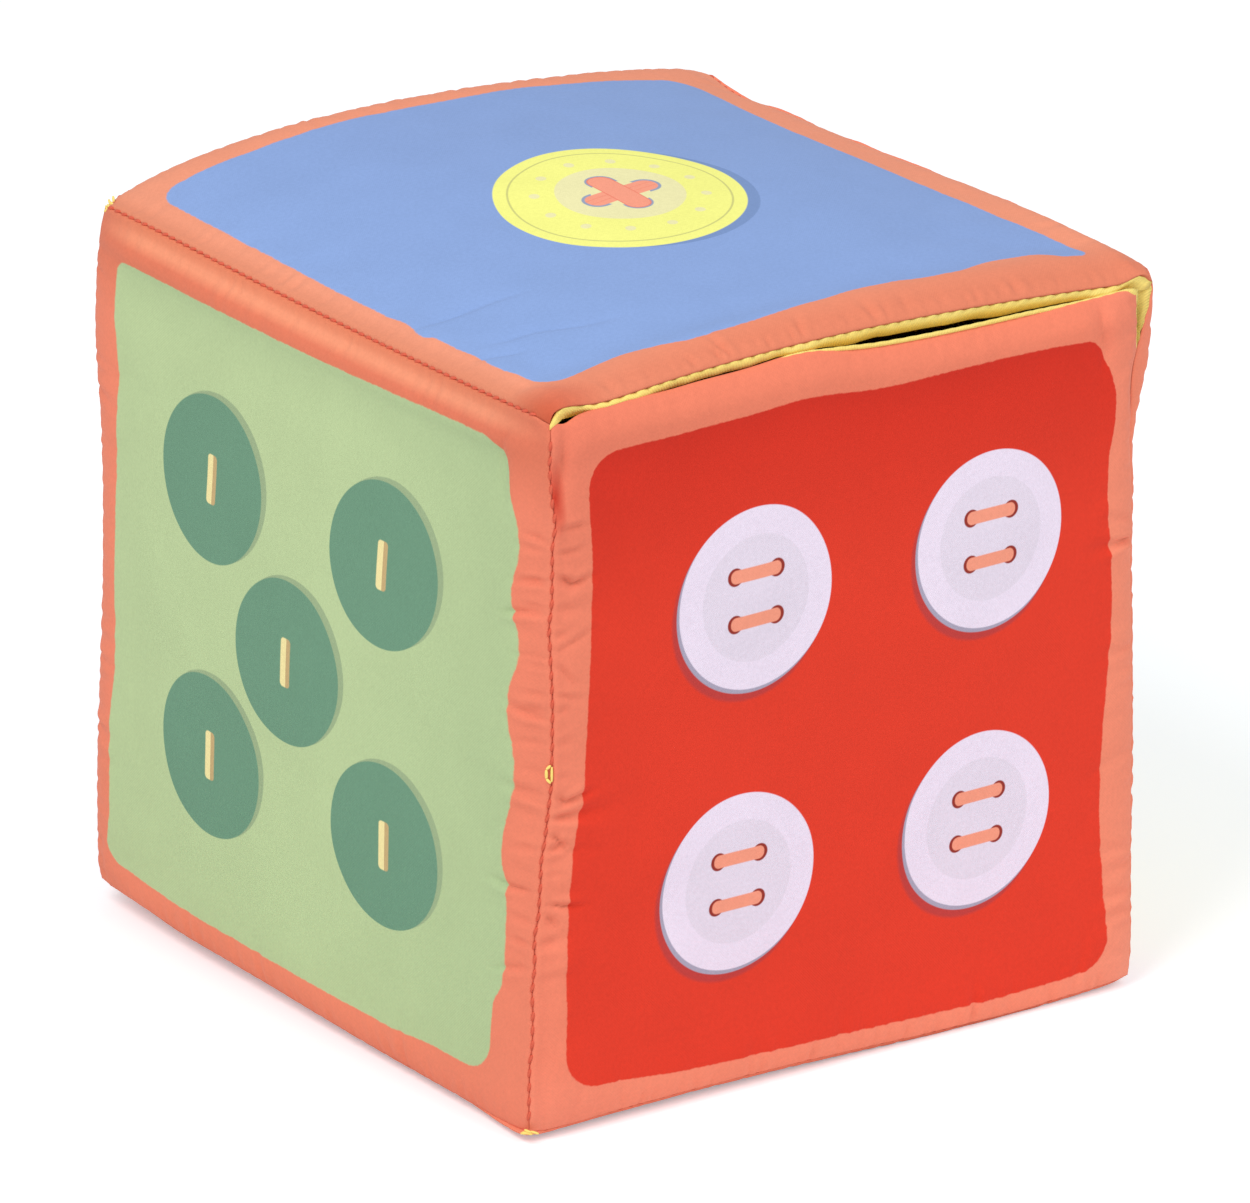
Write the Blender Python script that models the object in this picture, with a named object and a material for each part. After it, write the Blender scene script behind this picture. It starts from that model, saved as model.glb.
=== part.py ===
"""Soft fabric block: six padded panels sewn into a hollow cube.

Every panel is a cover, a foam pad and a lining. Their edges are mitred, so that two panels meet in a seam on each
edge of the cube. One edge isn't sewn: the mouth between the lid and the front panel. The slit goes on down the front
panel's right edge, so the front panel's top can fold outwards as a flap, about a crease from one end of the mouth to
the foot of the slit.

Metres, +Z up. The origin is the middle of the base, the front panel faces -Y and the left panel faces -X.
"""

import math
from collections import namedtuple

import bmesh
import bpy
from mathutils import Matrix, Vector

# Driving dimensions
BLOCK_EDGE = 0.155  # across the puffed edges of two opposite faces
PAD_THICKNESS = 0.0065
RIM_THICKNESS = 0.0038  # a pad is thinner where its seam squeezes it
FABRIC_THICKNESS = 0.0006
CLEARANCE = 0.0003

# Seams
SEAM_DEPTH = 0.0025  # a seam lies this far below both of its faces, at the cube's corners
SEAM_DRAW = 0.0004  # and this much further half way between them
ROLL_WIDTH = 0.0075  # the puffed edge beside a seam
COVER_TURN = 0.0022  # how far a cover turns down over its pad's edge, to where the lining begins
THREAD_DIAMETER = 0.0007
THREAD_END_GAP = 0.0030  # from a thread's end to the cube's corner

# How far each panel swells in its middle
LID_CROWN = 0.0008
FRONT_BACK_CROWN = 0.0025
SIDE_CROWN = 0.0035
BASE_CROWN = 0.0  # the base rests on its flat

# How far each edge of the lid is arched upwards. A fullness lifts both of an edge's ends, and a lean lifts one end and
# lowers the other.
BACK_ARCH = 0.0060
BACK_FULLNESS = 0.0035
RIGHT_ARCH = 0.0008
RIGHT_LEAN = 0.0040  # towards the mouth
LEFT_SAG = 0.0010
LID_LIP_ARCH = 0.0047
LID_LIP_LEAN = 0.0025  # away from the slit
FRONT_LIP_ARCH = 0.0012
FRONT_LIP_LEAN = 0.0035

# The flap, with its drops measured down the front panel from the mouth
SLIT_LENGTH = 0.0200
SLIT_WIDTH = 0.0035
CREASE_START_DROP = 0.0030
FLAP_TIP_DROP = 0.0080  # the flap's solids begin where the crease has come down this far
CREASE_STAND_OFF = 0.0012  # the crease's axis lies just outside the front panel's face
CUT_OVERRUN = 0.0100

# Grid lines of a panel, as shares from its rim to the inner side of its roll
COVER_ROLL_SHARES = (0.0, 0.24, 0.62, 1.0)
INNER_ROLL_SHARES = (0.0, 1.0)
MIDDLE_SPANS = 4  # between the roll and the middle of the panel

THREAD_SPANS = 12
SMOOTH_ANGLE = math.radians(40)

HALF = BLOCK_EDGE / 2
SEAM_REACH = HALF - SEAM_DEPTH  # from the cube's middle to a seam, at the cube's corners
MOUTH_HEIGHT = HALF + SEAM_REACH
CENTRE = Vector((0, 0, HALF))

# A surface of a panel: its depth below the seam at the rim, its depth below the face in the middle, and the width of
# the joint that it leaves to the same surface of the next panel.
Layer = namedtuple("Layer", "rim_depth face_depth joint")
Panel = namedtuple("Panel", "name normal across up crown")
Arch = namedtuple("Arch", "height lean fullness")

INSIDE_COVER = CLEARANCE + 2 * FABRIC_THICKNESS
INSIDE_CAVITY = INSIDE_COVER + 2 * CLEARANCE

COVER_OUTSIDE = Layer(0, 0, CLEARANCE)
COVER_INSIDE = Layer(FABRIC_THICKNESS, FABRIC_THICKNESS, INSIDE_COVER)
FOAM_TOP = Layer(FABRIC_THICKNESS + CLEARANCE, FABRIC_THICKNESS + CLEARANCE, INSIDE_CAVITY)
FOAM_BOTTOM = Layer(
    RIM_THICKNESS - FABRIC_THICKNESS - CLEARANCE,
    PAD_THICKNESS - FABRIC_THICKNESS - CLEARANCE,
    INSIDE_CAVITY,
)
LINING_INSIDE = Layer(RIM_THICKNESS - FABRIC_THICKNESS, PAD_THICKNESS - FABRIC_THICKNESS, INSIDE_COVER)
LINING_OUTSIDE = Layer(RIM_THICKNESS, PAD_THICKNESS, CLEARANCE)

X, Y, Z = Vector((1, 0, 0)), Vector((0, 1, 0)), Vector((0, 0, 1))

LID = Panel("lid", Z, X, Y, LID_CROWN)
BASE = Panel("base", -Z, -X, Y, BASE_CROWN)
FRONT = Panel("front", -Y, X, Z, FRONT_BACK_CROWN)
BACK = Panel("back", Y, -X, Z, FRONT_BACK_CROWN)
LEFT = Panel("left", -X, -Y, Z, SIDE_CROWN)
RIGHT = Panel("right", X, Y, Z, SIDE_CROWN)
PANELS = (LID, FRONT, LEFT, RIGHT, BACK, BASE)

# The lid's own edges, and the walls' edges under them. They are sewn together but for the two lips of the mouth.
SEWN_ARCH = {
    "left": Arch(-LEFT_SAG, 0, 0),
    "right": Arch(RIGHT_ARCH, -RIGHT_LEAN, 0),
    "back": Arch(BACK_ARCH, 0, BACK_FULLNESS),
}
LID_EDGE_ARCH = {**SEWN_ARCH, "front": Arch(LID_LIP_ARCH, -LID_LIP_LEAN, 0)}
WALL_EDGE_ARCH = {**SEWN_ARCH, "front": Arch(FRONT_LIP_ARCH, -FRONT_LIP_LEAN, 0)}

COLOURS = {
    "cover": (0.88, 0.27, 0.18, 1),
    "foam": (0.85, 0.84, 0.80, 1),
    "lining": (0.85, 0.66, 0.10, 1),
    "thread": (0.80, 0.24, 0.17, 1),
}
FACE_COLOURS = {
    "lid": (0.27, 0.40, 0.74, 1),
    "front": (0.76, 0.05, 0.02, 1),
    "left": (0.46, 0.60, 0.31, 1),
}


def clear_scene():
    for obj in list(bpy.data.objects):
        bpy.data.objects.remove(obj, do_unlink=True)


def fabric(name, colour, roughness):
    material = bpy.data.materials.new(name)
    material.use_nodes = True
    shader = material.node_tree.nodes["Principled BSDF"]
    shader.inputs["Base Color"].default_value = colour
    shader.inputs["Roughness"].default_value = roughness
    shader.inputs["Metallic"].default_value = 0
    return material


def hump(t):
    """1 half way along an edge and 0 at its ends."""
    return 1 - t * t


def neighbour(side):
    """The panel whose outward normal points to this side."""
    return next(panel for panel in PANELS if (panel.normal - side).length < 0.5)


def rise(arch, t):
    """How high an arched edge stands at a place along it, from -1 at its -X or -Y end to 1."""
    return (arch.height + arch.lean * t + arch.fullness * t * t) * hump(t)


def edge_shift(panel, side, t):
    """How far a panel's edge lies from the straight seam, towards that side and along the panel's own normal."""
    drawn = -SEAM_DRAW * hump(t)
    other = neighbour(side).name
    to_side, to_normal = drawn, drawn
    if panel is LID:
        to_normal += rise(LID_EDGE_ARCH[other], t)
    elif other == "lid":
        direction = panel.across.x + panel.across.y
        to_side += rise(WALL_EDGE_ARCH[panel.name], t * direction)
    return to_side, to_normal


def roll(share, reach):
    """The round of a puffed edge: 0 at the rim, 1 from ROLL_WIDTH inwards."""
    inwards = min((1 - abs(share)) * reach / ROLL_WIDTH, 1)
    return math.sqrt(1 - (1 - inwards) ** 2)


def slit_pull(panel, x, y):
    """The free corner of the front panel is drawn away from the right panel, most at the mouth."""
    if panel is not FRONT or x < 0:
        return 0
    foot = 1 - SLIT_LENGTH / HALF
    return SLIT_WIDTH * max((y - foot) / (1 - foot), 0) * x**8


def panel_point(panel, x, y, layer):
    """A point of a panel's surface, from shares -1 to 1 across and up the panel."""
    reach = SEAM_REACH - layer.rim_depth - layer.joint / math.sqrt(2)
    ends = (
        (panel.across, y, (1 + x) / 2),
        (-panel.across, y, (1 - x) / 2),
        (panel.up, x, (1 + y) / 2),
        (-panel.up, x, (1 - y) / 2),
    )
    point = panel.across * (reach * x - slit_pull(panel, x, y)) + panel.up * (reach * y)
    rim = SEAM_REACH - layer.rim_depth
    arch = 0
    for side, along, weight in ends:
        to_side, to_normal = edge_shift(panel, side, along)
        point += side * to_side * weight
        rim += to_normal * weight
        arch += (to_normal + SEAM_DRAW * hump(along)) * weight
    face = HALF - layer.face_depth + arch + panel.crown * hump(x) * hump(y)
    swell = roll(x, reach) * roll(y, reach)
    return CENTRE + point + panel.normal * (rim + (face - rim) * swell)


def grid_shares(roll_shares):
    """Shares -1 to 1 of a panel's grid lines: close together in the roll, even in between."""
    edge = [1 - share * ROLL_WIDTH / SEAM_REACH for share in roll_shares]
    middle = [edge[-1] * k / MIDDLE_SPANS for k in range(MIDDLE_SPANS - 1, -1, -1)]
    half = edge + middle
    return [-share for share in half] + half[-2::-1]


def rim_cells(count):
    """The grid's border cells, once round."""
    last = count - 1
    return (
        [(i, 0) for i in range(last)]
        + [(last, j) for j in range(last)]
        + [(i, last) for i in range(last, 0, -1)]
        + [(0, j) for j in range(last, 0, -1)]
    )


def lofted_panel(panel, roll_shares, first, last, turn_depth=None):
    """A closed mesh between two surfaces of a panel.

    With a turn depth it is a tray: its walls run down the mitre from the first surface to that depth and back up to
    the last one. Without, it is a slab whose sides join the two surfaces.
    """
    shares = grid_shares(roll_shares)
    count = len(shares)
    mesh = bmesh.new()

    def surface(layer):
        return [[mesh.verts.new(panel_point(panel, x, y, layer)) for y in shares] for x in shares]

    def ring(layer):
        return [mesh.verts.new(panel_point(panel, shares[i], shares[j], layer)) for i, j in border]

    border = rim_cells(count)
    grids = surface(first), surface(last)
    rings = [[grids[0][i][j] for i, j in border]]
    if turn_depth is not None:
        rings.append(ring(first._replace(rim_depth=turn_depth)))
        rings.append(ring(last._replace(rim_depth=turn_depth)))
    rings.append([grids[1][i][j] for i, j in border])
    for grid in grids:
        for i in range(count - 1):
            for j in range(count - 1):
                mesh.faces.new((grid[i][j], grid[i + 1][j], grid[i + 1][j + 1], grid[i][j + 1]))
    for upper, lower in zip(rings, rings[1:]):
        for k in range(len(border)):
            after = (k + 1) % len(border)
            mesh.faces.new((upper[k], upper[after], lower[after], lower[k]))
    bmesh.ops.recalc_face_normals(mesh, faces=mesh.faces[:])
    return mesh


def add_object(name, mesh, material):
    data = bpy.data.meshes.new(name)
    mesh.to_mesh(data)
    mesh.free()
    data.materials.append(material)
    data.shade_smooth()
    data.set_sharp_from_angle(angle=SMOOTH_ANGLE)
    obj = bpy.data.objects.new(name, data)
    bpy.context.collection.objects.link(obj)
    return obj


def cover(panel, name, material):
    mesh = lofted_panel(panel, COVER_ROLL_SHARES, COVER_OUTSIDE, COVER_INSIDE, COVER_TURN)
    return add_object(name, mesh, material)


def foam(panel, name, material):
    return add_object(name, lofted_panel(panel, INNER_ROLL_SHARES, FOAM_TOP, FOAM_BOTTOM), material)


def lining(panel, name, material):
    lip_depth = COVER_TURN + CLEARANCE
    mesh = lofted_panel(panel, INNER_ROLL_SHARES, LINING_OUTSIDE, LINING_INSIDE, lip_depth)
    return add_object(name, mesh, material)


def crease_drop(x):
    """How far the crease lies below the mouth, at a place across the front panel."""
    return CREASE_START_DROP + (SLIT_LENGTH - CREASE_START_DROP) * (x + HALF) / BLOCK_EDGE


def crease_point(x):
    return Vector((x, -HALF - CREASE_STAND_OFF, MOUTH_HEIGHT - crease_drop(x)))


def crease_direction():
    return (crease_point(HALF) - crease_point(-HALF)).normalized()


def flap_tip_x():
    drop_per_length = (SLIT_LENGTH - CREASE_START_DROP) / BLOCK_EDGE
    return (FLAP_TIP_DROP - CREASE_START_DROP) / drop_per_length - HALF


def flap_cutter(name, inset):
    """A prism over the flap's outline, its crease and its tip moved inwards by the inset."""
    along = crease_direction()
    upwards = along.cross(Y)
    upwards = -upwards if upwards.z < 0 else upwards
    tip = crease_point(flap_tip_x()) + (along + upwards) * inset
    far = BLOCK_EDGE + CUT_OVERRUN
    high = SLIT_LENGTH + FRONT_LIP_ARCH + CUT_OVERRUN
    outline = (tip, tip + along * far, tip + along * far + upwards * high, tip + upwards * high)
    depth = CREASE_STAND_OFF + PAD_THICKNESS + CUT_OVERRUN
    mesh = bmesh.new()
    near = [mesh.verts.new(point - Y * CUT_OVERRUN) for point in outline]
    face = mesh.faces.new(near)
    moved = bmesh.ops.extrude_face_region(mesh, geom=[face])["geom"]
    bmesh.ops.translate(
        mesh,
        verts=[part for part in moved if isinstance(part, bmesh.types.BMVert)],
        vec=Y * (depth + CUT_OVERRUN),
    )
    bmesh.ops.recalc_face_normals(mesh, faces=mesh.faces[:])
    data = bpy.data.meshes.new(name)
    mesh.to_mesh(data)
    mesh.free()
    cutter = bpy.data.objects.new(name, data)
    bpy.context.collection.objects.link(cutter)
    cutter.hide_render = True
    cutter.display_type = "WIRE"
    return cutter


def cut(obj, cutter, operation):
    boolean = obj.modifiers.new("flap_outline", "BOOLEAN")
    boolean.operation = operation
    boolean.solver = "EXACT"
    boolean.object = cutter


def hang_from(obj, pivot):
    obj.parent = pivot
    obj.matrix_parent_inverse = Matrix.Translation(-pivot.location)


def add_front(materials):
    """The front panel in two bodies: what is sewn in, and the flap above the crease."""
    pivot = bpy.data.objects.new("flap_crease", None)
    bpy.context.collection.objects.link(pivot)
    pivot.location = crease_point(0)
    outline = flap_cutter("flap_outline", CLEARANCE / 2)
    notch = flap_cutter("flap_notch", -CLEARANCE / 2)
    for layer, make in (("cover", cover), ("foam", foam), ("lining", lining)):
        material = materials["front"] if layer == "cover" else materials[layer]
        cut(make(FRONT, f"front_{layer}", material), notch, "DIFFERENCE")
        flap = make(FRONT, f"flap_{layer}", material)
        cut(flap, outline, "INTERSECT")
        hang_from(flap, pivot)


def add_panel(panel, materials):
    cover(panel, f"{panel.name}_cover", materials.get(panel.name, materials["cover"]))
    foam(panel, f"{panel.name}_foam", materials["foam"])
    lining(panel, f"{panel.name}_lining", materials["lining"])


def thread_point(panel, side, t):
    """The middle of the thread that lies in the groove between a panel and the next one."""
    along = panel.across if side.dot(panel.up) else panel.up
    to_side, to_normal = edge_shift(panel, side, t)
    out = (THREAD_DIAMETER / 2 + CLEARANCE) / math.sqrt(2)
    return (
        CENTRE
        + along * (SEAM_REACH * t)
        + side * (SEAM_REACH + to_side + out)
        + panel.normal * (SEAM_REACH + to_normal + out)
    )


def seam_thread(panel, side, material, top_share=None):
    """The seam's thread, from corner to corner, or up to a share of its own where the seam stops short."""
    end = 1 - THREAD_END_GAP / SEAM_REACH
    low, high = -end, end
    if top_share is not None:
        high = top_share
    curve = bpy.data.curves.new(f"thread_{panel.name}_{neighbour(side).name}", "CURVE")
    curve.dimensions = "3D"
    curve.bevel_depth = THREAD_DIAMETER / 2
    curve.bevel_resolution = 1
    curve.use_fill_caps = True
    spline = curve.splines.new("POLY")
    spline.points.add(THREAD_SPANS)
    for k, point in enumerate(spline.points):
        t = low + (high - low) * k / THREAD_SPANS
        point.co = (*thread_point(panel, side, t), 1)
    curve.materials.append(material)
    obj = bpy.data.objects.new(curve.name, curve)
    bpy.context.collection.objects.link(obj)


def add_threads(material):
    """One thread in each sewn seam. The mouth, between the lid and the front, has none."""
    for side in (-X, X, Y):
        seam_thread(LID, side, material)
    for side in (-X, X, -Y, Y):
        seam_thread(BASE, side, material)
    for panel, side in ((LEFT, -Y), (LEFT, Y), (BACK, X)):
        seam_thread(panel, side, material)
    # This seam's shares run up from the base, and it stops where the slit begins.
    slit_foot = 1 - (SLIT_LENGTH + THREAD_END_GAP) / SEAM_REACH
    seam_thread(RIGHT, -Y, material, top_share=slit_foot)


def main():
    clear_scene()
    materials = {
        "foam": fabric("foam", COLOURS["foam"], 0.95),
        "lining": fabric("lining", COLOURS["lining"], 0.80),
        "cover": fabric("cover", COLOURS["cover"], 0.85),
    }
    for name, colour in FACE_COLOURS.items():
        materials[name] = fabric(f"{name}_print", colour, 0.85)
    for panel in PANELS:
        if panel is not FRONT:
            add_panel(panel, materials)
    add_front(materials)
    add_threads(fabric("thread", COLOURS["thread"], 0.70))


main()
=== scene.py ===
"""The look of the soft fabric block: six padded panels with printed buttons, their linings and their seams.

Lengths are in millimetres up to the point where a mesh is made. A place on a panel is a pair of shares, -1 to 1 across
and up the panel, as in the part's source, and a print is drawn in millimetres from the panel's middle.
"""

import math

import bmesh
import bpy
import numpy as np
from mathutils import Matrix, Vector


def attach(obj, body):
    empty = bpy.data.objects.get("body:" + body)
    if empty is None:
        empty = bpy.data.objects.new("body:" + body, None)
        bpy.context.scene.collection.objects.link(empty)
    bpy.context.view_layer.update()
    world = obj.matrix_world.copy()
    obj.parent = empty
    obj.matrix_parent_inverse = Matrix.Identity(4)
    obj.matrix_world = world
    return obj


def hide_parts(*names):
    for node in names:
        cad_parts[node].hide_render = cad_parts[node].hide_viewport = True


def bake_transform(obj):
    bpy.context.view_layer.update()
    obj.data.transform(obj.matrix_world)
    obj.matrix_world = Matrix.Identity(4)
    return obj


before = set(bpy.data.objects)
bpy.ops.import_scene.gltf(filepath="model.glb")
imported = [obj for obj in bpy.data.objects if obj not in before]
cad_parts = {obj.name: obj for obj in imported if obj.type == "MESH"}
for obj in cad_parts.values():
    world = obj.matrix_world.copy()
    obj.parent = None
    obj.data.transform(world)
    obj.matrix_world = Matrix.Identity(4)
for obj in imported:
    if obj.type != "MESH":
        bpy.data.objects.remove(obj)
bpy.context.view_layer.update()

MM = 0.001

# The block's form, as the part's source has it but for the slit's width and the draw of the upright seams
HALF = 77.5
REACH = 75.0
RIM = 3.8
PAD = 6.5
CLOTH = 0.6
GAP = 0.3
ROLL = 7.5
SEAM_DRAW = 0.4
WALL_SEAM_DRAW = 0.9
SLIT_LENGTH = 20.0
SLIT_WIDTH = 3.9
CENTRE = np.array([0.0, 0.0, HALF])
MOUTH_HEIGHT = HALF + REACH
# Where the front panel's free corner begins and is full, as shares of the slit, and how it comes in across the panel
FREE_START, FREE_FULL, FREE_POWER = 0.66, 0.7, 8
# Where the scene's pads and linings end inside the block
UNDER_RIM, UNDER_FACE, UNDER_JOINT = RIM - CLOTH - GAP, PAD - CLOTH - GAP, 2.1
TURN_DEPTH, TURN_JOINT = 0.35, 1.9
LINING_JOINT = 1.5
ON_EDGE = 0.999  # the share from which a place counts as on an edge

X, Y, Z = np.eye(3)
AXES = {
    "lid": (Z, X, Y),
    "front": (-Y, X, Z),
    "left": (-X, -Y, Z),
    "right": (X, Y, Z),
    "back": (Y, -X, Z),
    "base": (-Z, -X, Y),
}
ORDER = sorted(AXES)  # for seeds
CROWNS = {"lid": 2.0, "front": 2.5, "left": 3.5, "right": 3.5, "back": 2.5, "base": 0.0}
# An arched edge: its height in the middle, its lean towards one end, and its fullness
LID_ARCHES = {
    "left": (-1.0, 0.0, 0.0), "right": (0.2, -4.0, 0.0), "back": (7.4, -2.5, 1.0), "front": (4.5, -1.05, 0.0)
}
WALL_ARCHES = {**LID_ARCHES, "front": (0.7, -3.5, 0.0)}
# Local waves of the two lips of the mouth: place along it, width and height
LIP_WAVES = {
    "lid": ((-0.97, 0.1, 2.3), (0.965, 0.05, 1.6)),
    "front": ((-0.95, 0.03, -0.9), (-0.62, 0.1, -0.4), (-0.17, 0.15, 1.5), (0.6, 0.25, 0.35), (1.0, 0.04, -1.6)),
}
# Soft local shifts of the whole block, its seams with it: where, how far around, and by how much
WARPS = (
    ((-75, 75, 128), (30, 30, 20), (-0.95, 0.95, 0)),
    ((-75, 75, 152.5), (14, 14, 10), (0.3, -0.2, -0.8)),
    ((75, 62, 152.5), (14, 12, 12), (0, 0, -1.8)),
    ((75, -75, 104), (14, 26, 26), (-1.8, 0, 0)),
    ((75, -75, 118), (5, 8, 7), (-1.2, 0, 0)),
    ((77.5, -68, 138), (8, 8, 11), (2.4, 0, 0)),
    ((75, -76, 134), (5, 3, 12), (-4.4, 0, 0)),
    ((75, -75, 152.5), (12, 12, 10), (0.7, -0.2, -0.2)),
    ((75, -75, 42), (14, 26, 26), (0.7, 0, 0)),
    ((-75, 75, 70), (20, 20, 40), (0.45, -0.45, 0)),
    ((-75, 75, 0), (26, 26, 22), (1.6, -0.4, 2.8)),
    ((-75, 28, 0), (16, 34, 12), (0.3, 0, 1.2)),
    ((45, -75, 0), (46, 14, 12), (0, -0.3, -2.0)),
    ((75, -75, 0), (25, 25, 30), (0.7, -0.6, 1.0)),
    ((-75, -75, 128), (5, 5, 16), (0.8, -0.8, 0)),
    ((-75, -75, 124), (5, 5, 28), (0.5, -0.5, 0)),
    ((-75, -75, 84), (5, 5, 24), (1.7, -1.7, 0)),
)
# The seam nearest to the camera wanders from side to side
WANDER = 0.4
WANDER_REACH = 4.0
# The spacing of a pad's grid, fine enough for the puckers on the panels that the photo shows
SPACING = {
    "lid": (0.7, 0.7), "front": (0.75, 0.5), "left": (0.75, 0.5),
    "right": (1.0, 1.0), "back": (1.0, 1.0), "base": (1.2, 1.2),
}
ROLL_LINES = 11
PAD_JOINT = 0.02  # between two sewn covers, so close that no light falls through
UNDERSIDE_STEP = 8


def hump(t):
    return 1 - t * t


def bell(distance, width):
    return np.exp(-(distance / width) ** 2)


def smooth(t):
    t = np.clip(t, 0, 1)
    return t * t * (3 - 2 * t)


def neighbour(side):
    return next(name for name, axes in AXES.items() if axes[0] @ side > 0.5)


def edges(panel):
    """Each edge's name, direction outwards, and the axis that runs along it."""
    _, across, up = AXES[panel]
    return [(neighbour(side), side, along) for side, along in
            ((across, up), (-across, up), (up, across), (-up, across))]


def around(panel, x, y):
    """Each edge with the shares of some places towards it and along it."""
    return [(*edge, toward, t) for edge, toward, t in zip(edges(panel), (x, -x, y, -y), (y, y, x, x))]


def rise(arch, t, turned):
    height, lean, fullness = arch
    return (height + fullness * t * t) * hump(t), lean * turned * hump(t)


def lip_wave(panel, t):
    waves = sum(height * bell(t - place, width) for place, width, height in LIP_WAVES[panel])
    sewn = np.maximum(-t, 0) if panel == "front" else np.abs(t)
    return waves * (1 - sewn**120)


def warp(points):
    """The block's own soft shifts. Nothing goes below the floor."""
    points = np.array(points, float)
    shift = np.zeros(points.shape)
    for centre, spread, by in WARPS:
        near = np.exp(-(((points - centre) / spread) ** 2).sum(-1))
        shift += near[..., None] * np.array(by, float)
    corner = np.exp(-(((points[..., :2] + REACH) / WANDER_REACH) ** 2).sum(-1))
    height = points[..., 2]
    wander = WANDER * corner * noise(height, 0 * height, 5.5, 31)
    points = points + shift + wander[..., None] * (X - Y) / math.sqrt(2)
    points[..., 2] = np.maximum(points[..., 2], 0.0)
    return points


def edge_shift(panel, other, along, t):
    """How far an edge lies from the straight seam: to its side and along the normal, and the part that leans."""
    upright = "lid" not in (panel, other) and "base" not in (panel, other)
    drawn = -(WALL_SEAM_DRAW if upright else SEAM_DRAW) * hump(t)
    height, lean = 0, 0
    if panel == "lid":
        height, lean = rise(LID_ARCHES[other], t, t)
    elif other == "lid":
        height, lean = rise(WALL_ARCHES[panel], t, t * along.sum())
    if {panel, other} == {"lid", "front"}:
        lean = lean + lip_wave(panel, t)
    return (drawn, drawn, height, lean) if panel == "lid" else (drawn + height, drawn, 0, lean)


def mouth_share(x, y):
    """1 on the front panel's free corner, which the slit lets go, and 0 where the panel is sewn."""
    foot = 1 - FREE_START * SLIT_LENGTH / HALF
    return np.clip((y - foot) / (FREE_FULL * (1 - foot)), 0, 1) * np.clip(x, 0, None) ** FREE_POWER


def roll(share, reach):
    inwards = np.minimum((1 - np.abs(share)) * reach / ROLL, 1)
    return np.sqrt(np.maximum(1 - (1 - inwards) ** 2, 0))


def surface(panel, x, y, rim_depth=0.0, face_depth=0.0, joint=GAP):
    """Points of a panel's surface in millimetres, for arrays of shares."""
    normal, across, up = AXES[panel]
    reach = REACH - rim_depth - joint / math.sqrt(2)
    flat_x, flat_y = reach * x, reach * y
    if panel == "front":
        flat_x = flat_x - SLIT_WIDTH * mouth_share(x, y)
    rim = REACH - rim_depth + np.zeros(x.shape)
    arch = np.zeros(x.shape)
    for other, side, along, toward, t in around(panel, x, y):
        weight = (1 + toward) / 2
        to_side, to_normal, height, lean = edge_shift(panel, other, along, t)
        if panel == "lid":
            lifted = height * weight + lean * weight**3
            rim, arch = rim + to_normal * weight + lifted, arch + lifted
            moved = to_side * weight
        else:
            rim = rim + to_normal * weight
            moved = to_side * weight + lean * weight**3
        flat_x, flat_y = flat_x + moved * (side @ across), flat_y + moved * (side @ up)
    face = HALF - face_depth + arch + CROWNS[panel] * hump(x) * hump(y)
    height = rim + (face - rim) * roll(x, reach) * roll(y, reach)
    return CENTRE + flat_x[..., None] * across + flat_y[..., None] * up + height[..., None] * normal


def noise(x, y, cell, seed):
    """Smooth noise between -1 and 1 whose features are about one cell wide."""
    table = np.random.RandomState(seed).uniform(-1, 1, (64, 64))
    gx, gy = x / cell + 640, y / cell + 640
    ix, iy = np.floor(gx).astype(int), np.floor(gy).astype(int)
    fx, fy = smooth(gx - ix), smooth(gy - iy)

    def at(a, b):
        return table[(ix + a) % 64, (iy + b) % 64]

    return (at(0, 0) * (1 - fx) + at(1, 0) * fx) * (1 - fy) + (at(0, 1) * (1 - fx) + at(1, 1) * fx) * fy


# Puckers. Each seam has its own row of creases, shared by the two panels that it joins: how deep they are, how far
# they reach in millimetres, and how far apart they lie.
PUCKERS = {
    ("front", "left"): (0.55, 4, 5.6),
    ("left", "front"): (0.5, 4.5, 5.6),
    ("lid", "front"): (0.5, 2.3, 2.9),
    ("front", "lid"): (0.14, 4, 5.2),
    ("lid", "left"): (0.16, 4.5, 4.4),
    ("left", "lid"): (0.22, 5, 4.4),
    ("lid", "back"): (0.24, 4.5, 4.4),
    ("lid", "right"): (0.26, 4.5, 4.4),
    ("front", "right"): (0.34, 5.5, 4.4),
}
USUAL_PUCKERS = (0.32, 5.5, 4.5)
# The part of the seam nearest to the camera that has puckers
PUCKERED = {("left", "front"): (-42.0, 50.0), ("front", "left"): (-42.0, 50.0)}
PUCKERED_FADE = 4.0
# How far from a seam a crease can matter, how it bends and widens on its way there, and the swell beside it: its
# height, and its distance as a multiple of the crease's width
CREASE_LIMIT = 26
CREASE_BEND = 0.02
CREASE_WIDENING = 0.16
SHOULDER, SHOULDER_PLACE = 0.45, 2.1
# How soon a crease is at its deepest, where it ends as a multiple of its reach, and how steeply it fades
CREASE_START, CREASE_END, CREASE_FADE = 0.7, 1.9, 1.6
# How much the creases of a row differ
PLACE_SPREAD, REACH_SPREAD, SLANT_SPREAD, DEPTH_SPREAD = 0.3, 0.45, 0.2, 0.4
LEAST_WIDTH, EXTRA_WIDTH = 0.45, 0.35


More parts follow.
